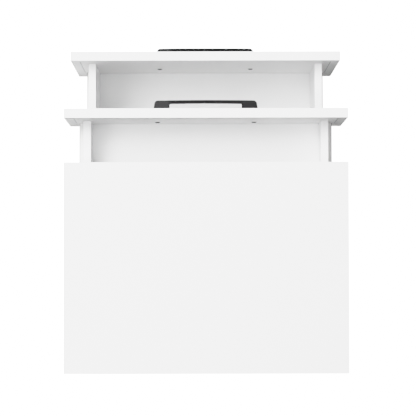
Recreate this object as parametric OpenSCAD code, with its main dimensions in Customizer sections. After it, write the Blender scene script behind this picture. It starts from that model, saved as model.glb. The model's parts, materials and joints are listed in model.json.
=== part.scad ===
// Two-drawer rolling pedestal cabinet: melamine-faced board carcass and drawer boxes,
// cam-and-dowel joints, epoxy-coated roller slides, bow handles and twin-wheel casters.
// +Z is up, the drawers open towards -Y, and the origin is on the floor under the middle
// of the object's footprint with both drawers standing part open, which is the rest pose.

/* [Cabinet] */
// Width over the side panels
cabinet_width = 460; // [400:5:560]
// Depth of the carcass, front edge to back edge
cabinet_depth = 341; // [330:1:420]
// Height over the casters
total_height = 560; // [540:5:640]
// Height of a caster, floor to the underside of the bottom panel
caster_height = 56; // [56:1:60]
// Carcass board thickness
board_thick = 15; // [15:1:18]

/* [Drawer fronts] */
// Front board thickness
front_thick = 15; // [15:1:19]
// Height of the upper front
upper_front_height = 199.5; // [190:0.5:215]
// Gap between the two fronts
front_gap = 3; // [2:0.5:4]
// Drop of the upper front's top edge below the top surface
front_drop = 3; // [2:0.5:5]
// Lift of the lower front's bottom edge above the carcass underside
front_lift = 2.5; // [1:0.5:6]
// Gap between a closed front and the carcass
closed_gap = 1; // [0.5:0.5:3]

/* [Drawer boxes] */
// Drawer side and back board thickness
box_thick = 12; // [12:0.5:16]
// Gap each side for the roller slides
slide_gap = 13.4; // [12.8:0.1:13.6]
// Reach of the upper drawer rails' flange from the drawer side
upper_lip = 9.3; // [9.3:0.1:10.6]
// Reach of the lower drawer rails' flange from the drawer side
lower_lip = 10.5; // [9.3:0.1:10.6]
// Length of a drawer box
box_length = 300; // [290:5:300]
// Side height of the upper box
upper_side_height = 76; // [70:1:80]
// Side height of the lower box
lower_side_height = 185; // [160:1:195]
// Height of a box's lower edge above its front's lower edge
box_lift = 53; // [48:1:56]
// Thickness of the bottom sheet and of the back panel
sheet_thick = 3; // [2.5:0.1:4]
// Height of the bottom sheet's underside above the box's lower edge
sheet_lift = 9; // [7:1:12]

/* [Rest pose] */
// How far the upper drawer stands open
upper_open = 71.5; // [0:0.5:150]
// How far the lower drawer stands open
lower_open = 184.5; // [60:0.5:220]

/* [Handle] */
// Hole spacing of the handle
handle_spacing = 160; // [96:32:192]
// Overall length beyond the hole spacing
handle_extra = 16; // [12:1:20]
// Projection of the bar from the front
handle_reach = 20.5; // [18:0.5:30]
// Extra bow of the bar at mid length
handle_bow = 0.5; // [0:0.5:3]
// Vertical height of the handle
handle_height = 11; // [9:1:14]
// Thickness of the bar
handle_bar = 5; // [4:0.5:8]
// Width of a foot
handle_foot = 28; // [18:1:32]
// Drop of the lower handle below the middle of its front
lower_handle_drop = 5; // [0:1:20]

/* [Casters] */
// Wheel radius
wheel_radius = 20; // [20:0.5:20.5]
// Width of one of the twin wheels
wheel_width = 8.5; // [7:0.5:9]
// Horizontal distance from kingpin to axle
wheel_trail = 16; // [14:1:17]
// Distance of a kingpin from the side of the cabinet
caster_inset = 50; // [48:1:70]
// Distance of the front kingpins from the carcass front edge
caster_front = 36; // [30:1:50]
// Distance of the rear kingpins from the carcass back edge
caster_rear = 48; // [46:1:70]

/* [Hidden] */
$fn = 64;
cut = 1;                // how far a cut starts outside the face it enters

// Colours
carcass_white = [0.93, 0.93, 0.93];
back_white = [0.9, 0.9, 0.9];
drawer_white = [0.94, 0.94, 0.94];
cap_white = [0.95, 0.95, 0.95];
cam_metal = [0.72, 0.73, 0.75];
bolt_metal = [0.78, 0.74, 0.6];
dowel_wood = [0.82, 0.68, 0.48];
rail_coat = [0.9, 0.9, 0.89];
roller_nylon = [0.85, 0.85, 0.83];
screw_metal = [0.7, 0.71, 0.72];
handle_black = [0.2, 0.2, 0.21];
handle_screw_metal = [0.6, 0.6, 0.6];
plate_metal = [0.66, 0.67, 0.68];
pin_metal = [0.6, 0.6, 0.61];
body_black = [0.12, 0.12, 0.13];
wheel_black = [0.15, 0.15, 0.16];
lever_grey = [0.35, 0.35, 0.36];

// Carcass planes
open_reach = closed_gap + lower_open + front_thick + handle_reach + handle_bow;
carcass_front = (open_reach - cabinet_depth) / 2;
carcass_back = carcass_front + cabinet_depth;
half_width = cabinet_width / 2;
inner_x = half_width - board_thick;              // inner face of a side panel
side_mid_x = half_width - board_thick / 2;       // middle of its thickness
base_z = caster_height;                          // underside of the carcass
bottom_mid_z = base_z + board_thick / 2;         // middle of the bottom panel
top_under_z = total_height - board_thick;        // underside of the top panel

// Groove for the back panel
groove_y = carcass_back - 11;
groove_end_y = groove_y + sheet_thick + 0.2;
groove_depth = 6;
back_tongue = 5.5;      // how far the back panel enters its grooves

// Cam fittings
cam_offset = 24;        // cam axis from the joint face
cam_clear = 0.1;
cam_radius = 7.5;
cam_depth = board_thick - 2.5;
drawer_cam_radius = 6;
drawer_cam_depth = box_thick - 3;
stem_bore_depth = cam_offset - 3;
stem_bore_radius = 3.6;
drawer_stem_bore_radius = 3.4;
thread_bore_radius = 2.6;
thread_bore_depth = 11.5;
top_bolt_y = [carcass_front + 40, carcass_back - 60];
bottom_bolt_y = [carcass_front + 104, carcass_back - 116];

// Dowels: a short end in the outer panel, a long end in the panel butted against it
dowel_radius = 4;
dowel_length = 28;
dowel_short = 9.5;
dowel_bore_radius = 4.05;
short_bore_depth = 10;
long_bore_depth = 20;
top_dowel_y = [carcass_front + 72, carcass_back - 92];
bottom_dowel_y = [carcass_front + 74, carcass_back - 92];

// Wood screws
screw_radius = 1.75;
screw_head_radius = 3.6;
screw_head_height = 2;
pilot_radius = 1.85;
pilot_depth = 12;

// Slides
steel_thick = 1.2;
rail_length = 300;                               // cabinet member
rail_front_y = carcass_front + 2;
rail_screw_y = [38, 150, 262];                   // from a rail's front end
rail_screw_z = 6;                                // above the box's lower edge
rail_hole_radius = 2.1;
roller_radius = 9.5;
roller_x = 2.45;                                 // roller's face nearest the drawer
roller_width = 5.5;
roller_slack = 0.15;
roller_from_end = 14;                            // roller axis from its rail's end
cabinet_roller_z = 11.25;
drawer_roller_z = 5.6;
drawer_roller_y = box_length - roller_from_end;
stud_radius = 4;                                 // shoulder and head of a roller's stud
journal_radius = 2.5;

// Drawers: lists are indexed by upper and lower
upper = 0;
lower = 1;
upper_front_z = total_height - front_drop - upper_front_height;
lower_front_z = base_z + front_lift;
front_height = [upper_front_height, upper_front_z - front_gap - lower_front_z];
side_height = [upper_side_height, lower_side_height];
lip = [upper_lip, lower_lip];
// Drawer frame: y = 0 on the back face of the front, z = 0 at the box's lower edge
drawer_y = [for (open = [upper_open, lower_open]) carcass_front - closed_gap - open];
box_z = [upper_front_z + box_lift, lower_front_z + box_lift];
// Heights in the drawer frame
handle_z = [front_height[upper] / 2 - box_lift,
            front_height[lower] / 2 - box_lift - lower_handle_drop];
front_cam_z = [[36, 60], [46, 150]];
back_screw_z = [[34, 58], [50, 150]];
box_x = inner_x - slide_gap;                     // outer face of a drawer side
box_inner_x = box_x - box_thick;
box_mid_x = box_x - box_thick / 2;
box_back_y = box_length - box_thick;             // front face of a box's back board
box_back_mid_y = box_length - box_thick / 2;
slot_clear = 0.1;                                // above and below the bottom sheet
slot_depth = 4.5;
sheet_tongue = 4;                                // how far the sheet enters its slots

// ---------- helpers ----------
// A box given by its two corners
module slab(from, to) translate(from) cube(to - from);

// Cylinders along an axis from a point; a negative length runs the other way
module rod_x(at, radius, length)
  translate(at) rotate([0, 90 * sign(length), 0]) cylinder(r = radius, h = abs(length));
module rod_y(at, radius, length)
  translate(at) rotate([-90 * sign(length), 0, 0]) cylinder(r = radius, h = abs(length));
module rod_z(at, radius, length)
  translate(at + [0, 0, min(length, 0)]) cylinder(r = radius, h = abs(length));

// Bores into a face at a point: a rod that starts outside the face
function overshoot(depth) = cut * sign(depth);
module bore_x(at, radius, depth)
  rod_x(at - [overshoot(depth), 0, 0], radius, depth + overshoot(depth));
module bore_y(at, radius, depth)
  rod_y(at - [0, overshoot(depth), 0], radius, depth + overshoot(depth));
module bore_z(at, radius, depth)
  rod_z(at - [0, 0, overshoot(depth)], radius, depth + overshoot(depth));

// Parts are drawn for the right, +X, side
module on_left() mirror([1, 0, 0]) children();
module both_sides() {
  on_left() children();
  children();
}

// Cross-shaped recess cut down to z = floor_z
module cross_recess(length, width, floor_z) {
  height = 2;
  translate([-length / 2, -width / 2, floor_z]) cube([length, width, height]);
  translate([-width / 2, -length / 2, floor_z]) cube([width, length, height]);
}

// Wood screw: axis along Z, head's underside at z = 0, shank below
module wood_screw(length) difference() {
  union() {
    translate([0, 0, -length]) cylinder(r = screw_radius, h = length + 0.5);
    cylinder(r1 = screw_head_radius, r2 = screw_head_radius * 0.72, h = screw_head_height);
  }
  cross_recess(length = screw_head_radius * 1.1, width = 0.9, floor_z = screw_head_height - 1);
}

// ---------- carcass ----------
module top_panel() color(carcass_white) difference() {
  slab([-half_width, carcass_front, top_under_z], [half_width, carcass_back, total_height]);
  slab([-inner_x - groove_depth, groove_y, top_under_z - cut],
       [inner_x + groove_depth, groove_end_y, top_under_z + groove_depth]);
  both_sides() {
    for (y = top_bolt_y)
      bore_z([side_mid_x, y, top_under_z], thread_bore_radius, thread_bore_depth);
    for (y = top_dowel_y)
      bore_z([side_mid_x, y, top_under_z], dowel_bore_radius, short_bore_depth);
  }
}

module side_panel() difference() {
  slab([inner_x, carcass_front, base_z], [half_width, carcass_back, top_under_z]);
  slab([inner_x - cut, groove_y, base_z - cut],
       [inner_x + groove_depth, groove_end_y, top_under_z + cut]);
  for (y = top_bolt_y) {
    bore_x([inner_x, y, top_under_z - cam_offset], cam_radius + cam_clear, cam_depth + cam_clear);
    bore_z([side_mid_x, y, top_under_z], stem_bore_radius, -stem_bore_depth);
  }
  for (y = top_dowel_y)
    bore_z([side_mid_x, y, top_under_z], dowel_bore_radius, -long_bore_depth);
  for (y = bottom_bolt_y)
    bore_x([inner_x, y, bottom_mid_z], thread_bore_radius, thread_bore_depth);
  for (y = bottom_dowel_y)
    bore_x([inner_x, y, bottom_mid_z], dowel_bore_radius, short_bore_depth);
  for (z = box_z, y = rail_screw_y)
    bore_x([inner_x, rail_front_y + y, z + rail_screw_z], pilot_radius, pilot_depth);
}
module left_side_panel() color(carcass_white) on_left() side_panel();
module right_side_panel() color(carcass_white) side_panel();

module bottom_panel() color(carcass_white) difference() {
  panel_top = base_z + board_thick;
  slab([-inner_x, carcass_front, base_z], [inner_x, carcass_back, panel_top]);
  slab([-inner_x - cut, groove_y, panel_top - groove_depth],
       [inner_x + cut, groove_end_y, panel_top + cut]);
  both_sides() {
    for (y = bottom_bolt_y) {
      bore_z([inner_x - cam_offset, y, base_z], cam_radius + cam_clear, cam_depth + cam_clear);
      bore_x([inner_x, y, bottom_mid_z], stem_bore_radius, -stem_bore_depth);
    }
    for (y = bottom_dowel_y)
      bore_x([inner_x, y, bottom_mid_z], dowel_bore_radius, -long_bore_depth);
  }
  for (place = caster_places, dx = plate_screws, dy = plate_screws)
    bore_z([place[0] + dx, place[1] + dy, base_z], pilot_radius, pilot_depth);
}

module back_panel() color(back_white) {
  y = groove_y + 0.1;
  slab([-inner_x - back_tongue, y, base_z + board_thick - back_tongue],
       [inner_x + back_tongue, y + sheet_thick, top_under_z + back_tongue]);
}

// Cam disc: axis along Z, open face at z = 0, body below. The bolt's pocket, at
// bolt_depth below the face, points towards +X.
module cam_disc(radius, depth, bolt_depth) difference() {
  translate([0, 0, -depth]) cylinder(r = radius, h = depth);
  cross_recess(length = 1.6 * radius, width = 1.8, floor_z = -1.6);
  translate([2.5, 0, -bolt_depth]) rotate([0, 90, 0]) cylinder(r = 3.7, h = radius);
}

// Cam bolt: axis along Z, thread below z = 0, collar, stem and head above
module cam_bolt(thread, stem) {
  translate([0, 0, -thread]) cylinder(r = 2.5, h = thread + 1);
  cylinder(r = 3.3, h = 2.4);
  translate([0, 0, 2]) cylinder(r = 2, h = stem - 4);
  translate([0, 0, stem - 3]) cylinder(r = 3, h = 3);
}

// Press-on cap over a cam, axis along Z, its flat at z = 0
module cap() {
  cylinder(r = 8.6, h = 0.7);
  translate([0, 0, 0.6]) cylinder(r1 = 8.4, r2 = 7.2, h = 0.6);
}

// Each carcass cam's place: top joints' in the side panels, bottom joints' in the bottom panel
module at_carcass_cams() both_sides() {
  for (y = top_bolt_y)
    translate([inner_x, y, top_under_z - cam_offset]) rotate([0, -90, 0]) children();
  for (y = bottom_bolt_y)
    translate([inner_x - cam_offset, y, base_z]) rotate([180, 0, 0]) children();
}
module cam_discs() color(cam_metal)
  at_carcass_cams() cam_disc(cam_radius, cam_depth, bolt_depth = board_thick / 2);
module cam_caps() color(cap_white) at_carcass_cams() cap();

module cam_bolts() color(bolt_metal) both_sides() {
  thread = 11;
  stem = cam_offset - 4;
  for (y = top_bolt_y)
    translate([side_mid_x, y, top_under_z]) rotate([180, 0, 0]) cam_bolt(thread, stem);
  for (y = bottom_bolt_y)
    translate([inner_x, y, bottom_mid_z]) rotate([0, -90, 0]) cam_bolt(thread, stem);
}

module wood_dowels() color(dowel_wood) both_sides() {
  for (y = top_dowel_y)
    rod_z([side_mid_x, y, top_under_z + dowel_short], dowel_radius, -dowel_length);
  for (y = bottom_dowel_y)
    rod_x([inner_x + dowel_short, y, bottom_mid_z], dowel_radius, -dowel_length);
}

// ---------- roller slides ----------
// Rail frame: x = 0 on the drawer side's outer face, y = 0 at the rail's front end and
// z = 0 at the drawer side's lower edge
module at_cabinet_rail(drawer) translate([box_x, rail_front_y, box_z[drawer]]) children();
module at_drawer_rail(drawer) translate([box_x, drawer_y[drawer], box_z[drawer]]) children();

// Extrudes an (x, z) section from y = 0 towards +Y
module rail_bar(length)
  translate([0, length, 0]) rotate([90, 0, 0]) linear_extrude(length) children();

// Cabinet member's section, (x, z): web on the carcass side, channel floor and its lip
module cabinet_rail_profile() polygon([
  [1.1, -5.2], [slide_gap, -5.2], [slide_gap, 25], [slide_gap - steel_thick, 25],
  [slide_gap - steel_thick, -4], [2.3, -4], [2.3, -2.6], [1.1, -2.6]
]);

// Cabinet member: a channel for the drawer's rear roller and the front roller's stud
module cabinet_rail(drawer) at_cabinet_rail(drawer) difference() {
  flange_z = 15.7;
  shoulder_x = slide_gap - steel_thick / 2;
  journal_x = slide_gap - 1;
  union() {
    rail_bar(rail_length) cabinet_rail_profile();
    // upper flange, from behind the front roller
    slab([3, 34, flange_z], [slide_gap - 0.5, rail_length, flange_z + steel_thick]);
    // stud: shoulder, journal and head
    translate([0, roller_from_end, cabinet_roller_z]) {
      rod_x([shoulder_x, 0, 0], stud_radius, roller_x + roller_width + roller_slack - shoulder_x);
      rod_x([journal_x, 0, 0], journal_radius, 1.9 - journal_x);
      rod_x([2.25, 0, 0], stud_radius, -0.75);
    }
  }
  for (y = rail_screw_y)
    bore_x([slide_gap, y, rail_screw_z], rail_hole_radius, -2);
}

// Drawer member's section, (x, z): web on the drawer side, a foot under it, and a flange
// with a sloping outer lip over the front roller
module drawer_rail_profile(reach) polygon([
  [-box_thick + 1, -steel_thick], [steel_thick, -steel_thick], [steel_thick, 20.8],
  [reach - 1.15, 20.8], [reach - 1.15, 17.6], [reach, 17.6], [reach, 18.2],
  [reach - 1.1, 22], [0, 22], [0, 0], [-box_thick + 1, 0]
]);

module drawer_rail(drawer) at_drawer_rail(drawer) difference() {
  web_mid_x = steel_thick / 2;
  union() {
    rail_bar(box_length) drawer_rail_profile(lip[drawer]);
    // rear roller's stud: shoulder, journal and head
    translate([0, drawer_roller_y, drawer_roller_z]) {
      rod_x([web_mid_x, 0, 0], stud_radius, roller_x - roller_slack - web_mid_x);
      rod_x([web_mid_x, 0, 0], journal_radius, 8.6 - web_mid_x);
      rod_x([roller_x + roller_width + roller_slack, 0, 0], stud_radius, 0.8);
    }
  }
  for (y = rail_screw_y)
    rod_z([-box_thick / 2, y, -3], rail_hole_radius, 4);
}

// Nylon roller, axis along X, with a ring-shaped recess in its carcass-side face
module roller(y, z) translate([roller_x, y, z]) rotate([0, 90, 0]) difference() {
  cylinder(r = roller_radius, h = roller_width);
  translate([0, 0, -1]) cylinder(r = 2.56, h = 8);
  difference() {
    translate([0, 0, 4.6]) cylinder(r = 7.6, h = 2);
    translate([0, 0, 4.5]) cylinder(r = 4.4, h = 3);
  }
}
module cabinet_rollers(drawer)
  both_sides() at_cabinet_rail(drawer) roller(roller_from_end, cabinet_roller_z);
module drawer_rollers(drawer)
  both_sides() at_drawer_rail(drawer) roller(drawer_roller_y, drawer_roller_z);

module upper_left_cabinet_rail() color(rail_coat) on_left() cabinet_rail(upper);
module upper_right_cabinet_rail() color(rail_coat) cabinet_rail(upper);
module lower_left_cabinet_rail() color(rail_coat) on_left() cabinet_rail(lower);
module lower_right_cabinet_rail() color(rail_coat) cabinet_rail(lower);
module upper_left_drawer_rail() color(rail_coat) on_left() drawer_rail(upper);
module upper_right_drawer_rail() color(rail_coat) drawer_rail(upper);
module lower_left_drawer_rail() color(rail_coat) on_left() drawer_rail(lower);
module lower_right_drawer_rail() color(rail_coat) drawer_rail(lower);

module upper_cabinet_rollers() color(roller_nylon) cabinet_rollers(upper);
module lower_cabinet_rollers() color(roller_nylon) cabinet_rollers(lower);
module upper_drawer_rollers() color(roller_nylon) drawer_rollers(upper);
module lower_drawer_rollers() color(roller_nylon) drawer_rollers(lower);

module cabinet_rail_screws() color(screw_metal) both_sides()
  for (drawer = [upper, lower], y = rail_screw_y)
    at_cabinet_rail(drawer)
      translate([slide_gap - steel_thick, y, rail_screw_z]) rotate([0, -90, 0]) wood_screw(12);

// ---------- drawers ----------
module at_drawer(drawer) translate([0, drawer_y[drawer], box_z[drawer]]) children();

// Slot for the bottom sheet between two (x, y) corners
module sheet_slot(from, to)
  slab([from[0], from[1], sheet_lift - slot_clear],
       [to[0], to[1], sheet_lift + sheet_thick + slot_clear]);

module drawer_front(drawer) at_drawer(drawer) difference() {
  slab([-half_width, -front_thick, -box_lift],
       [half_width, 0, front_height[drawer] - box_lift]);
  sheet_slot([-box_inner_x - slot_depth, -slot_depth], [box_inner_x + slot_depth, cut]);
  both_sides() {
    for (z = front_cam_z[drawer])
      bore_y([box_mid_x, 0, z], thread_bore_radius, -11);
    bore_y([handle_spacing / 2, 0, handle_z[drawer]], 2.2, -front_thick - cut);
  }
}

module drawer_side(drawer) at_drawer(drawer) difference() {
  slab([box_inner_x, 0, 0], [box_x, box_length, side_height[drawer]]);
  sheet_slot([box_inner_x - cut, -cut], [box_inner_x + slot_depth, box_length + cut]);
  for (z = front_cam_z[drawer]) {
    bore_x([box_x, cam_offset, z], drawer_cam_radius + cam_clear, -drawer_cam_depth - cam_clear);
    bore_y([box_mid_x, 0, z], drawer_stem_bore_radius, stem_bore_depth);
  }
  // back board's screws: through hole and head's counterbore
  for (z = back_screw_z[drawer]) {
    bore_x([box_x, box_back_mid_y, z], 2.6, -box_thick - cut);
    bore_x([box_x, box_back_mid_y, z], 4.1, -2.6);
  }
  for (y = rail_screw_y)
    bore_z([box_mid_x, y, 0], pilot_radius, 6.6);
}

module drawer_back(drawer) at_drawer(drawer) difference() {
  slab([-box_inner_x, box_back_y, 0], [box_inner_x, box_length, side_height[drawer]]);
  sheet_slot([-box_x, box_back_y - cut], [box_x, box_back_y + slot_depth]);
  both_sides()
    for (z = back_screw_z[drawer])
      bore_x([box_inner_x, box_back_mid_y, z], 2.6, -25);
}

module drawer_bottom(drawer) at_drawer(drawer)
  slab([-box_inner_x - sheet_tongue, -sheet_tongue, sheet_lift],
       [box_inner_x + sheet_tongue, box_back_y + sheet_tongue, sheet_lift + sheet_thick]);

// Cams in the drawer sides' outer faces, pockets towards the front
module front_cams(drawer) at_drawer(drawer) both_sides()
  for (z = front_cam_z[drawer])
    translate([box_x, cam_offset, z]) rotate([-90, 0, 0]) rotate([0, 90, 0])
      cam_disc(drawer_cam_radius, drawer_cam_depth, bolt_depth = box_thick / 2);

module front_bolts(drawer) at_drawer(drawer) both_sides()
  for (z = front_cam_z[drawer])
    translate([box_mid_x, 0, z]) rotate([-90, 0, 0])
      cam_bolt(thread = 10.5, stem = cam_offset - 3.5);

// Carcass screw: axis along Z, head's face at z = 0, with a hexagon socket
module carcass_screw() difference() {
  union() {
    translate([0, 0, -36]) cylinder(r = 2.5, h = 35);
    translate([0, 0, -2]) cylinder(r = 4, h = 2);
  }
  translate([0, 0, -1.6]) cylinder(r = 1.8, h = 2, $fn = 6);
}

// Screws up through the rails' feet and in through the sides to the back board
module box_screws(drawer) at_drawer(drawer) both_sides() {
  for (y = rail_screw_y)
    translate([box_mid_x, y, -steel_thick]) rotate([180, 0, 0]) wood_screw(7);
  for (z = back_screw_z[drawer])
    translate([box_x - 0.4, box_back_mid_y, z]) rotate([0, 90, 0]) carcass_screw();
}

// Points on an arc about a centre, from one angle to another
function arc(center, radius, from, to, steps) = [
  for (i = [0 : steps])
    let (angle = from + (to - from) * i / steps)
    [center[0] + radius * cos(angle), center[1] + radius * sin(angle)]
];
// Points between x = start_x and -start_x on an edge at y = base, bowed out at mid length
function bowed_edge(start_x, base, steps = 24) = [
  for (i = [1 : steps - 1])
    let (x = start_x * (1 - 2 * i / steps))
    [x, base + handle_bow * (1 - (x / start_x) * (x / start_x))]
];

// Bow handle's outline, (x, projection)
module handle_outline() {
  half_length = (handle_spacing + handle_extra) / 2;
  half_opening = half_length - handle_foot;
  outer_radius = 6;
  inner_radius = 2;
  lean = 2.8;             // how far a foot's outer side leans in
  ankle = [half_length - 1.6, 7];     // bend in a foot's outer side
  outer_x = half_length - lean - outer_radius;
  outer_y = handle_reach - outer_radius;
  opening_x = half_opening - inner_radius;
  opening_top = handle_reach - handle_bar;
  opening_y = opening_top - inner_radius;
  outer = concat(
    [[half_length, 0], ankle],
    arc([outer_x, outer_y], outer_radius, 0, 90, 8),
    bowed_edge(outer_x, handle_reach),
    arc([-outer_x, outer_y], outer_radius, 90, 180, 8),
    [[-ankle[0], ankle[1]], [-half_length, 0]]);
  opening = concat(
    [[-half_opening, 0]],
    arc([-opening_x, opening_y], inner_radius, 180, 90, 6),
    bowed_edge(-opening_x, opening_top),
    arc([opening_x, opening_y], inner_radius, 90, 0, 6),
    [[half_opening, 0]]);
  polygon(concat(outer, opening));
}

module handle(drawer) at_drawer(drawer) difference() {
  translate([0, -front_thick, handle_z[drawer] - handle_height / 2])
    mirror([0, 1, 0]) linear_extrude(handle_height) handle_outline();
  both_sides()
    bore_y([handle_spacing / 2, -front_thick, handle_z[drawer]], 2.1, -12);
}

// Machine screw: axis along Z, underside of its domed head at z = 0, shank below
module handle_screw() difference() {
  union() {
    translate([0, 0, -front_thick - 10]) cylinder(r = 2, h = front_thick + 10.5);
    cylinder(r = 4.2, h = 0.7);
    translate([0, 0, 0.7]) cylinder(r1 = 4.2, r2 = 2.8, h = 0.9);
  }
  cross_recess(length = 4, width = 1, floor_z = 0.5);
}
module handle_screws(drawer) at_drawer(drawer) both_sides()
  translate([handle_spacing / 2, 0, handle_z[drawer]]) rotate([-90, 0, 0]) handle_screw();

module upper_drawer_front() color(drawer_white) drawer_front(upper);
module upper_handle() color(handle_black) handle(upper);
module upper_handle_screws() color(handle_screw_metal) handle_screws(upper);
module upper_left_drawer_side() color(drawer_white) on_left() drawer_side(upper);
module upper_right_drawer_side() color(drawer_white) drawer_side(upper);
module upper_drawer_back() color(drawer_white) drawer_back(upper);
module upper_drawer_bottom() color(carcass_white) drawer_bottom(upper);
module upper_front_cams() color(cam_metal) front_cams(upper);
module upper_front_bolts() color(bolt_metal) front_bolts(upper);
module upper_box_screws() color(screw_metal) box_screws(upper);

module lower_drawer_front() color(drawer_white) drawer_front(lower);
module lower_handle() color(handle_black) handle(lower);
module lower_handle_screws() color(handle_screw_metal) handle_screws(lower);
module lower_left_drawer_side() color(drawer_white) on_left() drawer_side(lower);
module lower_right_drawer_side() color(drawer_white) drawer_side(lower);
module lower_drawer_back() color(drawer_white) drawer_back(lower);
module lower_drawer_bottom() color(carcass_white) drawer_bottom(lower);
module lower_front_cams() color(cam_metal) front_cams(lower);
module lower_front_bolts() color(bolt_metal) front_bolts(lower);
module lower_box_screws() color(screw_metal) box_screws(lower);

// ---------- casters ----------
// Kingpin's x and y, and the direction its wheels trail, in degrees
caster_x = half_width - caster_inset;
front_left = [-caster_x, carcass_front + caster_front, -90];
front_right = [caster_x, carcass_front + caster_front, -90];
rear_left = [-caster_x, carcass_back - caster_rear, 90];
rear_right = [caster_x, carcass_back - caster_rear, 90];
caster_places = [front_left, front_right, rear_left, rear_right];

plate_half = 21;
plate_thick = 1.6;
plate_z = base_z - plate_thick;
plate_screws = [-15, 15];                        // along either side of the plate
kingpin_radius = 4;
kingpin_base = wheel_radius + 22.5;
web_thick = 7;                                   // body's web between the wheels
hood_width = web_thick + 2 * wheel_width + 2.5;
hood_inner_radius = wheel_radius + 0.9;
hood_outer_radius = wheel_radius + 3;
// Brake lever's pivot, about the axle
lever_angle = 44;
lever_radius = wheel_radius + 5;
lever_x = wheel_trail + lever_radius * cos(lever_angle);
lever_z = wheel_radius + lever_radius * sin(lever_angle);

// Caster frame: kingpin on the Z axis, wheels trailing towards +X
module at_caster(place)
  translate([place[0], place[1], 0]) rotate([0, 0, place[2]]) children();
module at_casters() for (place = caster_places) at_caster(place) children();

// Plate with a pressed swivel cup under it
module plate() difference() {
  union() {
    slab([-plate_half, -plate_half, plate_z], [plate_half, plate_half, base_z]);
    translate([0, 0, plate_z - 2.4]) cylinder(r1 = 11, r2 = 13, h = 2.5);
  }
  rod_z([0, 0, plate_z - 4], kingpin_radius + 0.1, 4 + plate_thick + 0.2);
  for (x = plate_screws, y = plate_screws)
    bore_z([x, y, plate_z], 2.2, 3);
}
module caster_plates() color(plate_metal) at_casters() plate();

// Kingpin, from just below the plate's top down into the body's bore
module kingpin() {
  top = base_z - 0.2;
  rod_z([0, 0, top], kingpin_radius, kingpin_base - top);
}
module caster_kingpins() color(pin_metal) at_casters() kingpin();

module caster_screws() color(screw_metal) at_casters()
  for (x = plate_screws, y = plate_screws)
    translate([x, y, plate_z]) rotate([180, 0, 0]) wood_screw(11.5);

// Cylinder across the wheels, centred on the mid plane between them
module across(x, z, radius, width)
  translate([x, width / 2, z]) rotate([90, 0, 0]) cylinder(r = radius, h = width);
module on_axle(radius, width) across(wheel_trail, wheel_radius, radius, width);
module on_pivot(radius, width) across(lever_x, lever_z, radius, width);

// Ring sector about the axle, between two angles measured up from the trailing side
module ring(inner, outer, width, from, to)
  translate([wheel_trail, width / 2, wheel_radius]) rotate([90, 0, 0]) rotate([0, 0, from])
    rotate_extrude(angle = to - from) translate([inner, 0]) square([outer - inner, width]);

// Ears for the brake lever, bored for its pin
module lever_ears() difference() {
  for (s = [-1, 1])
    translate([0, s * (hood_width / 2 - 1.7), 0]) {
      on_pivot(3.4, 3);
      ring(hood_inner_radius + 0.4, hood_outer_radius + 3.6, 2.6, 49, 71);
    }
  on_pivot(1.6, hood_width + 2);
}

module caster_body(brake) difference() {
  socket_top = plate_z - 2.6;
  socket_base = 30;
  union() {
    // swivel socket and hood, cleared for the wheels
    difference() {
      union() {
        rod_z([0, 0, socket_top], 10.5, socket_base - socket_top);
        ring(hood_inner_radius - 0.4, hood_outer_radius, hood_width, brake ? 64 : 40, 158);
      }
      on_axle(hood_inner_radius, hood_width + 20);
    }
    // web between the wheels
    ring(5, hood_inner_radius + 0.9, web_thick, 50, 150);
    on_axle(7.5, web_thick);
    if (brake) lever_ears();
  }
  on_axle(3.05, hood_width + 2);
  rod_z([0, 0, plate_z], kingpin_radius + 0.05, kingpin_base - 1 - plate_z);
}
module front_left_caster_body() color(body_black) at_caster(front_left) caster_body(true);
module front_right_caster_body() color(body_black) at_caster(front_right) caster_body(true);
module rear_left_caster_body() color(body_black) at_caster(rear_left) caster_body(false);
module rear_right_caster_body() color(body_black) at_caster(rear_right) caster_body(false);

module axle() on_axle(3, hood_width - 3.5);
module front_left_axle() color(pin_metal) at_caster(front_left) axle();
module front_right_axle() color(pin_metal) at_caster(front_right) axle();
module rear_left_axle() color(pin_metal) at_caster(rear_left) axle();
module rear_right_axle() color(pin_metal) at_caster(rear_right) axle();

// Wheel's half section, (radius, distance out from its inner face): tread ring, dished
// disc and hub
module wheel_profile() polygon([
  [3.06, 0], [8, 0], [8, 1.2],
  [wheel_radius - 4, 2.2], [wheel_radius - 4, 0.4], [wheel_radius - 1, 0],
  [wheel_radius, 1.2], [wheel_radius, wheel_width - 1.8],
  [wheel_radius - 1.8, wheel_width], [wheel_radius - 4, wheel_width],
  [wheel_radius - 4.6, wheel_width - 1.4],
  [8, wheel_width - 2], [7, wheel_width], [3.06, wheel_width]
]);
module wheels()
  for (s = [-1, 1])
    translate([wheel_trail, s * (web_thick / 2 + 0.6), wheel_radius])
      rotate([-90 * s, 0, 0]) rotate_extrude() wheel_profile();
module front_left_wheels() color(wheel_black) at_caster(front_left) wheels();
module front_right_wheels() color(wheel_black) at_caster(front_right) wheels();
module rear_left_wheels() color(wheel_black) at_caster(rear_left) wheels();
module rear_right_wheels() color(wheel_black) at_caster(rear_right) wheels();

// Brake lever: pin, hub, and a finger pad with a rounded outer end
module brake_lever() {
  width = hood_width - 7;
  on_pivot(1.5, hood_width - 0.6);
  on_pivot(3, width);
  translate([lever_x, 0, lever_z]) rotate([0, -26, 0]) {
    translate([0, -width / 2 + 0.2, -1.1]) cube([13, width - 0.4, 3]);
    across(11.8, 0.4, 2.3, width - 0.8);
  }
}
module front_left_brake_lever() color(lever_grey) at_caster(front_left) brake_lever();
module front_right_brake_lever() color(lever_grey) at_caster(front_right) brake_lever();

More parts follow.
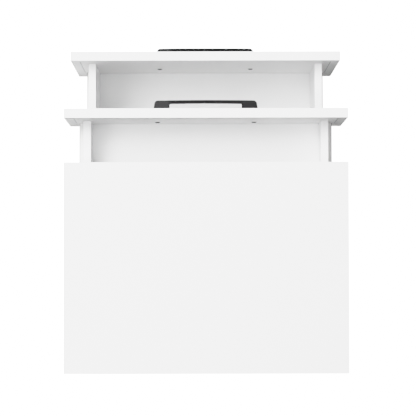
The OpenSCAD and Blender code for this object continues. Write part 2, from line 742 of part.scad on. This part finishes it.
// ---------- assembly ----------
top_panel();
left_side_panel();
right_side_panel();
bottom_panel();
back_panel();
cam_discs();
cam_bolts();
wood_dowels();
cam_caps();
upper_left_cabinet_rail();
upper_right_cabinet_rail();
lower_left_cabinet_rail();
lower_right_cabinet_rail();
cabinet_rail_screws();
caster_plates();
caster_kingpins();
caster_screws();
upper_drawer_front();
upper_handle();
upper_handle_screws();
upper_left_drawer_side();
upper_right_drawer_side();
upper_drawer_back();
upper_drawer_bottom();
upper_left_drawer_rail();
upper_right_drawer_rail();
upper_front_cams();
upper_front_bolts();
upper_box_screws();
lower_drawer_front();
lower_handle();
lower_handle_screws();
lower_left_drawer_side();
lower_right_drawer_side();
lower_drawer_back();
lower_drawer_bottom();
lower_left_drawer_rail();
lower_right_drawer_rail();
lower_front_cams();
lower_front_bolts();
lower_box_screws();
upper_cabinet_rollers();
upper_drawer_rollers();
lower_cabinet_rollers();
lower_drawer_rollers();
front_left_caster_body();
front_right_caster_body();
rear_left_caster_body();
rear_right_caster_body();
front_left_axle();
front_right_axle();
rear_left_axle();
rear_right_axle();
front_left_wheels();
front_right_wheels();
rear_left_wheels();
rear_right_wheels();
front_left_brake_lever();
front_right_brake_lever();
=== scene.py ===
# A white board drawer unit with black handles, steel runners and wheels, seen from above.
# It stands on z = 0, and its drawers open towards -Y. Lengths are in metres.
# The pieces keep their CAD meshes and get materials and rounded edges.
import bpy
import json
import math
from mathutils import Vector, Matrix


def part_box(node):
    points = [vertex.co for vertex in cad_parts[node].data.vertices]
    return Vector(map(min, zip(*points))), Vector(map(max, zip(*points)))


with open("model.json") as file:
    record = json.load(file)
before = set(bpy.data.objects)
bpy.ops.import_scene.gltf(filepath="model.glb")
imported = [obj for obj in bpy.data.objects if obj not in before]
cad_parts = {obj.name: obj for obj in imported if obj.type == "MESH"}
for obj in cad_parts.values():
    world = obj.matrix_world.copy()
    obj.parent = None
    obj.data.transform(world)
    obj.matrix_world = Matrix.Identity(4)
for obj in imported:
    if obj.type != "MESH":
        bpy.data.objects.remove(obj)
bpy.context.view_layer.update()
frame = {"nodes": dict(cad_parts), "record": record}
nodes = frame["nodes"]


# ---------------------------------------------------------------- node helpers
class Tree:
    """A material's node tree, with short calls for the nodes used here."""

    def __init__(self, name):
        self.mat = bpy.data.materials.new(name)
        self.mat.use_nodes = True
        self.tree = self.mat.node_tree
        self.tree.nodes.clear()
        output = self.node("ShaderNodeOutputMaterial")
        self.bsdf = self.node("ShaderNodeBsdfPrincipled")
        self.put(output.inputs["Surface"], self.bsdf.outputs[0])
        self.coords = self.node("ShaderNodeTexCoord").outputs["Object"]

    def node(self, kind, **props):
        node = self.tree.nodes.new(kind)
        for key, value in props.items():
            setattr(node, key, value)
        return node

    def put(self, socket, value):
        """Links a socket, or sets a number or an RGB colour."""
        if isinstance(value, bpy.types.NodeSocket):
            self.tree.links.new(value, socket)
        elif isinstance(value, tuple):
            socket.default_value = (*value, 1.0)
        else:
            socket.default_value = value

    def noise(self, scale, detail=3, rough=0.5, coords=None, distortion=0.0):
        tex = self.node("ShaderNodeTexNoise")
        self.put(tex.inputs["Vector"], coords or self.coords)
        tex.inputs["Scale"].default_value = scale
        tex.inputs["Detail"].default_value = detail
        tex.inputs["Roughness"].default_value = rough
        tex.inputs["Distortion"].default_value = distortion
        return tex.outputs["Fac"]

    def stretch(self, x, y, z):
        mapping = self.node("ShaderNodeMapping")
        self.put(mapping.inputs["Vector"], self.coords)
        mapping.inputs["Scale"].default_value = (x, y, z)
        return mapping.outputs[0]

    def axes(self):
        """The object coordinates as separate x, y and z."""
        separate = self.node("ShaderNodeSeparateXYZ")
        self.put(separate.inputs[0], self.coords)
        return separate.outputs

    def ramp(self, value, start, end, low=0.0, high=1.0):
        """Goes from low to high as value goes from start to end, and is flat beyond."""
        node = self.node("ShaderNodeMapRange", clamp=True)
        self.put(node.inputs["Value"], value)
        node.inputs["From Min"].default_value = start
        node.inputs["From Max"].default_value = end
        node.inputs["To Min"].default_value = low
        node.inputs["To Max"].default_value = high
        return node.outputs["Result"]

    def fade(self, value, start, end):
        return self.ramp(value, start, end, low=1.0, high=0.0)

    def spread(self, noise, low=0.0, high=1.0):
        """Spreads the middle of a noise's range over low to high."""
        return self.ramp(noise, 0.3, 0.7, low, high)

    def mix(self, factor, first, second):
        node = self.node("ShaderNodeMix", data_type="RGBA")
        self.put(node.inputs["Factor"], factor)
        self.put(node.inputs["A"], first)
        self.put(node.inputs["B"], second)
        return node.outputs["Result"]

    def mottle(self, noise, first, second):
        return self.mix(self.spread(noise), first, second)

    def tint(self, base, color, mask, amount):
        """Takes base towards color by amount, where mask is 1."""
        return self.mix(self.calc("MULTIPLY", mask, amount), base, color)

    def calc(self, operation, a, b=0.0):
        node = self.node("ShaderNodeMath", operation=operation)
        self.put(node.inputs[0], a)
        self.put(node.inputs[1], b)
        return node.outputs[0]

    def dot(self, a, b):
        node = self.node("ShaderNodeVectorMath", operation="DOT_PRODUCT")
        self.put(node.inputs[0], a)
        self.put(node.inputs[1], b)
        return node.outputs["Value"]

    def wear(self, radius=0.0008):
        """1 on edges, 0 on flats, from the bent normal of a rounded edge."""
        bevel = self.node("ShaderNodeBevel", samples=4)
        bevel.inputs["Radius"].default_value = radius
        geometry = self.node("ShaderNodeNewGeometry")
        bend = self.dot(bevel.outputs[0], geometry.outputs["Normal"])
        return self.fade(bend, start=0.75, end=0.98)

    def painted_corner_shade(self, base):
        """Painted shade: slightly darkens base where another face meets this one, from ambient
        occlusion.
        """
        occlusion = self.node("ShaderNodeAmbientOcclusion", samples=6)
        occlusion.inputs["Distance"].default_value = 0.0035
        mask = self.fade(occlusion.outputs["AO"], start=0.5, end=0.92)
        return self.tint(base, grey(0.05), mask, amount=0.09)

    def bump(self, height, strength, distance=0.0004):
        node = self.node("ShaderNodeBump")
        node.inputs["Strength"].default_value = strength
        node.inputs["Distance"].default_value = distance
        self.put(node.inputs["Height"], height)
        self.put(self.bsdf.inputs["Normal"], node.outputs[0])

    def surface(self, color, rough, metal=0.0, spec=0.5):
        self.put(self.bsdf.inputs["Base Color"], color)
        self.put(self.bsdf.inputs["Roughness"], rough)
        self.put(self.bsdf.inputs["Metallic"], metal)
        self.put(self.bsdf.inputs["Specular IOR Level"], spec)


def grey(shade):
    return (shade, shade, shade)


# ---------------------------------------------------------------- materials
BOARD = 0.92                # shade of the board
SHEET = BOARD * 0.985       # shade of the thin sheet


def board_rub(t, base, box):
    """Two faint, broken upright lines on the back (+Y) face of a drawer front."""
    low, high = box
    from_middle = high[0] - 0.015
    bottom = low[2] + 0.075
    top = high[2] - 0.012
    x, y, z = t.axes()
    off_line = t.calc("ABSOLUTE", t.calc("SUBTRACT", t.calc("ABSOLUTE", x), from_middle))
    across = t.fade(off_line, start=0.0006, end=0.0011)
    along = t.calc("MULTIPLY", t.ramp(z, start=bottom, end=bottom + 0.002),
                   t.fade(z, start=top - 0.02, end=top))
    back = t.calc("GREATER_THAN", y, high[1] - 0.0004)
    broken = t.ramp(t.noise(scale=120.0, rough=0.6), start=0.35, end=0.55, low=0.55)
    line = t.calc("MULTIPLY", across, along)
    return t.tint(base, grey(BOARD * 0.5), line, t.calc("MULTIPLY", back, broken))


def board_material(name, box=None):
    """White melamine board. A box, that of a drawer front, adds the rubbed lines."""
    t = Tree(name)
    cloud = t.noise(scale=6.0, detail=4, rough=0.6)
    fine = t.noise(scale=900.0, detail=2)
    base = t.mottle(cloud, grey(BOARD * 0.985), (BOARD * 1.01, BOARD * 1.01, BOARD * 1.012))
    base = t.tint(base, grey(BOARD * 0.9), t.ramp(fine, start=0.55, end=0.8), amount=0.10)
    if box:
        base = board_rub(t, base, box)
    # painted shade in the corners where other faces meet this board
    t.surface(t.painted_corner_shade(base), rough=t.spread(cloud, low=0.42, high=0.52), spec=0.35)
    grain = t.calc("ADD", t.calc("MULTIPLY", fine, 0.6), t.noise(scale=2600.0, detail=2))
    t.bump(grain, strength=0.06)
    return t.mat


def sheet_material():
    t = Tree("white_sheet")
    cloud = t.noise(scale=9.0, detail=4, rough=0.6)
    fibre = t.noise(scale=500.0, detail=4, rough=0.7)
    base = t.mottle(cloud, grey(SHEET * 0.975), grey(SHEET * 1.01))
    # painted shade in the corners where other faces meet this sheet
    t.surface(t.painted_corner_shade(base), rough=t.spread(fibre, low=0.5, high=0.62), spec=0.3)
    t.bump(fibre, strength=0.05, distance=0.0006)
    return t.mat


def epoxy_material(name, box=None):
    """White epoxy over steel. A box, that of a drawer rail, adds painted shade along its outer
    lip, deeper on the -X rails, away from the lamps.
    """
    t = Tree(name)
    peel = t.noise(scale=1100.0, detail=2, rough=0.4)
    cloud = t.noise(scale=14.0)
    edges = t.wear(radius=0.0005)
    base = t.mottle(cloud, (0.74, 0.74, 0.725), (0.78, 0.78, 0.77))
    base = t.tint(base, (0.6, 0.6, 0.58), edges, amount=0.25)
    if box:
        low, high = box
        reach = max(-low[0], high[0])
        # painted shade on the outer lip: a grey tone, darkest on the -X rails, which the drawer
        # side shades from the lamps at +X
        shade = 0.4 if high[0] > 0 else 0.12
        x = t.axes()[0]
        lip_shade_band = t.ramp(t.calc("ABSOLUTE", x), start=reach - 0.0019, end=reach - 0.0014)
        patches = t.noise(scale=35.0, rough=0.6, coords=t.stretch(x=1.0, y=0.3, z=1.0))
        patchy = t.ramp(patches, start=0.35, end=0.6, low=0.85)
        base = t.tint(base, (shade, shade, shade * 0.98), lip_shade_band, patchy)
    t.surface(base, rough=t.spread(peel, low=0.28, high=0.4))
    t.bump(peel, strength=0.12)
    return t.mat


def handle_material():
    """Matt black. The feet at both ends are painted greyer than the bar, the +X one most: painted
    light on their up-facing tops, most on the foot towards the lamps at +X.
    """
    bar_end, foot_start = 0.056, 0.064      # distances from the middle along X
    t = Tree("handle_black")
    grain = t.noise(scale=1500.0, detail=2)
    cloud = t.noise(scale=40.0)
    edges = t.wear()
    base = t.mottle(cloud, (0.0035, 0.0035, 0.0037), (0.005, 0.005, 0.0053))
    x = t.axes()[0]
    # painted light: the +X foot greyer, as it faces the lamps
    base = t.mix(t.ramp(x, bar_end, foot_start), base, (0.019, 0.019, 0.0195))
    # painted light: the -X foot a little greyer than the bar
    base = t.mix(t.fade(x, -foot_start, -bar_end), base, (0.009, 0.009, 0.0093))
    base = t.tint(base, (0.016, 0.016, 0.0165), edges, amount=0.4)
    t.surface(base, rough=t.spread(grain, low=0.5, high=0.64), spec=0.05)
    t.bump(grain, strength=0.10)
    return t.mat


def zinc_material():
    """Bright steel, brushed along X."""
    t = Tree("zinc_steel")
    brushed = t.noise(scale=160.0, rough=0.6, coords=t.stretch(x=1.0, y=9.0, z=9.0))
    blotch = t.noise(scale=260.0, rough=0.6)
    base = t.mottle(blotch, (0.62, 0.64, 0.67), (0.76, 0.77, 0.78))
    base = t.tint(base, (0.85, 0.86, 0.87), t.wear(radius=0.0004), amount=0.5)
    t.surface(base, rough=t.spread(brushed, low=0.24, high=0.42), metal=1.0)
    t.bump(brushed, strength=0.08, distance=0.0003)
    return t.mat


def dark_steel_material():
    t = Tree("dark_steel")
    blotch = t.noise(scale=420.0, rough=0.6)
    base = t.mottle(blotch, (0.10, 0.10, 0.104), (0.15, 0.15, 0.155))
    base = t.tint(base, grey(0.26), t.wear(radius=0.0004), amount=0.35)
    t.surface(base, rough=t.spread(blotch, low=0.45, high=0.6), spec=0.2)
    t.bump(blotch, strength=0.10, distance=0.0003)
    return t.mat


def die_cast_material():
    t = Tree("die_cast_zinc")
    pits = t.noise(scale=900.0, detail=4, rough=0.6)
    base = t.mottle(pits, (0.50, 0.51, 0.53), (0.64, 0.65, 0.67))
    t.surface(base, rough=t.spread(pits, low=0.38, high=0.58), metal=1.0)
    t.bump(pits, strength=0.18, distance=0.0003)
    return t.mat


def beech_material():
    """Pale wood with its grain along Y."""
    t = Tree("beech")
    grain = t.noise(scale=300.0, detail=5, rough=0.65, distortion=0.4,
                    coords=t.stretch(x=1.0, y=0.12, z=1.0))
    streaks = t.ramp(grain, start=0.35, end=0.65)
    base = t.mix(streaks, (0.52, 0.34, 0.18), (0.68, 0.49, 0.29))
    t.surface(base, rough=t.spread(grain, low=0.55, high=0.75))
    t.bump(grain, strength=0.15)
    return t.mat


def plastic_material(name, dark, light, rough, worn=None):
    """Grained plastic. rough is (least, most); worn is the colour of rubbed edges."""
    t = Tree(name)
    grain = t.noise(scale=1400.0, rough=0.55)
    cloud = t.noise(scale=30.0, detail=4, rough=0.6)
    base = t.mottle(cloud, dark, light)
    if worn:
        base = t.tint(base, worn, t.wear(), amount=0.5)
    t.surface(base, rough=t.spread(grain, *rough), spec=0.45)
    t.bump(grain, strength=0.12)
    return t.mat


def wheel_material():
    """Black plastic with paler scuffs."""
    t = Tree("wheel_plastic")
    grain = t.noise(scale=1500.0)
    scuff = t.noise(scale=170.0, detail=5, rough=0.7)
    scuffed = t.ramp(scuff, start=0.5, end=0.8)
    base = t.mix(scuffed, (0.010, 0.010, 0.011), (0.035, 0.034, 0.032))
    base = t.tint(base, grey(0.045), t.wear(radius=0.001), amount=0.5)
    t.surface(base, rough=t.ramp(scuff, start=0.3, end=0.8, low=0.40, high=0.62), spec=0.45)
    t.bump(t.calc("ADD", grain, t.calc("MULTIPLY", scuff, 0.6)), strength=0.12)
    return t.mat


MATERIALS = {
    "white_board": board_material("white_board"),
    "white_sheet": sheet_material(),
    "white_steel": epoxy_material("white_steel"),
    "handle_black": handle_material(),
    "zinc_steel": zinc_material(),
    "dark_steel": dark_steel_material(),
    "die_cast_zinc": die_cast_material(),
    "beech": beech_material(),
    "white_plastic": plastic_material(
        "white_plastic", dark=(0.76, 0.76, 0.75), light=(0.80, 0.80, 0.79), rough=(0.35, 0.5)),
    "nylon": plastic_material(
        "nylon", dark=(0.66, 0.66, 0.62), light=(0.72, 0.72, 0.68), rough=(0.35, 0.5)),
    "black_plastic": plastic_material(
        "black_plastic", dark=(0.007, 0.007, 0.0075), light=(0.010, 0.010, 0.0108),
        rough=(0.42, 0.58), worn=(0.03, 0.03, 0.031)),
    "wheel_plastic": wheel_material(),
    "lever_plastic": plastic_material(
        "lever_plastic", dark=(0.035, 0.035, 0.037), light=(0.045, 0.045, 0.047),
        rough=(0.4, 0.55), worn=grey(0.08)),
}

# Width of the rounded edges by material. Beech stays sharp.
EDGE_WIDTH = {
    "white_board": 0.0006, "white_sheet": 0.0003, "white_steel": 0.0003,
    "handle_black": 0.0009, "zinc_steel": 0.0002, "dark_steel": 0.0002,
    "die_cast_zinc": 0.0002, "white_plastic": 0.0003, "nylon": 0.0003,
    "black_plastic": 0.0006, "wheel_plastic": 0.0005, "lever_plastic": 0.0006,
}


def round_edges(obj, width):
    bevel = obj.modifiers.new("edge", "BEVEL")
    bevel.width = width
    bevel.segments = 2
    bevel.limit_method = "ANGLE"
    bevel.angle_limit = math.radians(40)
    bevel.harden_normals = False
    bevel.use_clamp_overlap = True


slot_of = {part["node"]: part["material_slot"] for part in frame["record"]["subparts"]}
slot_of["upper_handle_screws"] = slot_of["lower_handle_screws"] = "dark_steel"

for name, obj in nodes.items():
    slot = slot_of[name]
    material = MATERIALS[slot]
    if name.endswith("drawer_front"):
        material = board_material(name + "_board", box=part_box(name))
    elif name.endswith("drawer_rail"):
        material = epoxy_material(name + "_epoxy", box=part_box(name))
    obj.data.materials.clear()
    obj.data.materials.append(material)
    if slot in EDGE_WIDTH:
        round_edges(obj, EDGE_WIDTH[slot])


# ---------------------------------------------------------------- floor and world
FLOOR_HALF = 14


def floor_material():
    """Grey paper to the lights. To the camera it also glows, more so further out."""
    t = Tree("floor_paper")
    fine = t.noise(scale=60.0)
    t.surface(t.mottle(fine, grey(0.59), grey(0.61)), rough=0.9, spec=0.1)
    light_path = t.node("ShaderNodeLightPath")
    geometry = t.node("ShaderNodeNewGeometry")
    facing = t.dot(geometry.outputs["Incoming"], geometry.outputs["Normal"])
    steep = t.ramp(facing, start=0.88, end=0.97, high=6.0)
    radius = t.node("ShaderNodeVectorMath", operation="LENGTH")
    t.put(radius.inputs[0], t.coords)
    away = t.ramp(radius.outputs["Value"], start=0.7, end=3.0, high=5.2)
    least = 0.3
    glow = t.calc("MAXIMUM", t.calc("MAXIMUM", steep, away), least)
    t.put(t.bsdf.inputs["Emission Color"], grey(1))
    t.put(t.bsdf.inputs["Emission Strength"],
          t.calc("MULTIPLY", light_path.outputs["Is Camera Ray"], glow))
    return t.mat


def make_floor():
    mesh = bpy.data.meshes.new("floor")
    corners = [(x * FLOOR_HALF, y * FLOOR_HALF, 0)
               for x, y in ((-1, -1), (1, -1), (1, 1), (-1, 1))]
    mesh.from_pydata(corners, [], [(0, 1, 2, 3)])
    floor = bpy.data.objects.new("floor", mesh)
    scene.collection.objects.link(floor)
    mesh.materials.append(floor_material())


def make_world():
    """A dim white fill that the camera sees as bright white."""
    world = bpy.data.worlds.new("studio")
    scene.world = world
    world.use_nodes = True
    tree = world.node_tree
    tree.nodes.clear()
    output = tree.nodes.new("ShaderNodeOutputWorld")
    background = tree.nodes.new("ShaderNodeBackground")
    tree.links.new(background.outputs[0], output.inputs[0])
    light_path = tree.nodes.new("ShaderNodeLightPath")
    strength = tree.nodes.new("ShaderNodeMapRange")
    tree.links.new(light_path.outputs["Is Camera Ray"], strength.inputs["Value"])
    strength.inputs["To Min"].default_value = 0.15
    strength.inputs["To Max"].default_value = 9.0
    background.inputs["Color"].default_value = (1, 1, 1, 1)
    tree.links.new(strength.outputs[0], background.inputs["Strength"])


scene = bpy.context.scene
make_floor()
make_world()

# ---------------------------------------------------------------- lights
LAMP_TARGET = Vector((0, 0, 0.4))


def lamp(name, azimuth, elevation, distance, power):
    """A soft disk. Azimuth 0 is the side the drawers open towards (-Y), 90 is +X."""
    turn, rise = math.radians(azimuth), math.radians(elevation)
    direction = Vector((math.sin(turn) * math.cos(rise), -math.cos(turn) * math.cos(rise),
                        math.sin(rise)))
    light = bpy.data.lights.new(name, "AREA")
    light.shape = "DISK"
    light.size = 1.6
    light.energy = power
    light.color = (1, 1, 1)
    obj = bpy.data.objects.new(name, light)
    scene.collection.objects.link(obj)
    place = LAMP_TARGET + direction * distance
    obj.location = place
    obj.rotation_mode = "QUATERNION"
    obj.rotation_quaternion = (LAMP_TARGET - place).to_track_quat("-Z", "Y")
    obj.visible_camera = False


lamp("overhead", azimuth=0, elevation=90, distance=3.6, power=80.0)
lamp("key", azimuth=45, elevation=60, distance=3.2, power=273.0)
lamp("side", azimuth=90, elevation=60, distance=3.2, power=76.0)

# ---------------------------------------------------------------- camera
# Looks down on the top panel, with -Y towards the head of the picture.
# Eye and aim are measured from the middle of the panel's upper face.
EYE_OFFSET = (0.01381, 0.04211, 3.78)
AIM_OFFSET = (-0.00310, -0.09637, 0.0)
ROLL = -0.002               # radians

low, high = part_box("top_panel")
panel = ((low[0] + high[0]) / 2, (low[1] + high[1]) / 2, high[2])
eye, aim = (Vector([middle + step for middle, step in zip(panel, offset)])
            for offset in (EYE_OFFSET, AIM_OFFSET))

cam_data = bpy.data.cameras.new("camera")
cam_data.sensor_width = 36.0
cam_data.lens = 202.75096
cam_data.clip_start, cam_data.clip_end = 0.05, 60.0
cam = bpy.data.objects.new("camera", cam_data)
scene.collection.objects.link(cam)
forward = (aim - eye).normalized()
right = forward.cross(Vector((math.sin(ROLL), -math.cos(ROLL), 0))).normalized()
up = right.cross(forward)
cam.matrix_world = Matrix((right, up, -forward, eye)).transposed().to_4x4() if False else Matrix((
    (right.x, up.x, -forward.x, eye.x),
    (right.y, up.y, -forward.y, eye.y),
    (right.z, up.z, -forward.z, eye.z),
    (0, 0, 0, 1)))
scene.camera = cam

# ---------------------------------------------------------------- tone curve
WHITE = 6                   # light shown as full white
LIFT_START = 4.0            # light from which the curve climbs on to white


def shoulder(light):
    """A soft shoulder that levels off at 0.92, then is lifted up to 1 at WHITE."""
    lift = min(max((light - LIFT_START) / (WHITE - LIFT_START), 0.0), 1.0)
    return 0.92 * (1 - math.exp(-light)) * (1 - lift) + lift


view = scene.view_settings
view.view_transform = "Standard"
view.look = "None"
view.use_curve_mapping = True
mapping = view.curve_mapping
mapping.black_level, mapping.white_level = grey(0), grey(WHITE)
mapping.extend = "HORIZONTAL"
mapping.use_clip = False
curve = mapping.curves[3]   # the combined curve
curve.points[0].location = (0.0, 0.0)
curve.points[1].location = (1.0, 1.0)
for light in (0.1, 0.22, 0.38, 0.56, 0.78, 1.05, 1.4, 1.85, 2.4, 3.1, 4.0, 4.5, 5.0, 5.5):
    curve.points.new(light / WHITE, shoulder(light))
mapping.update()
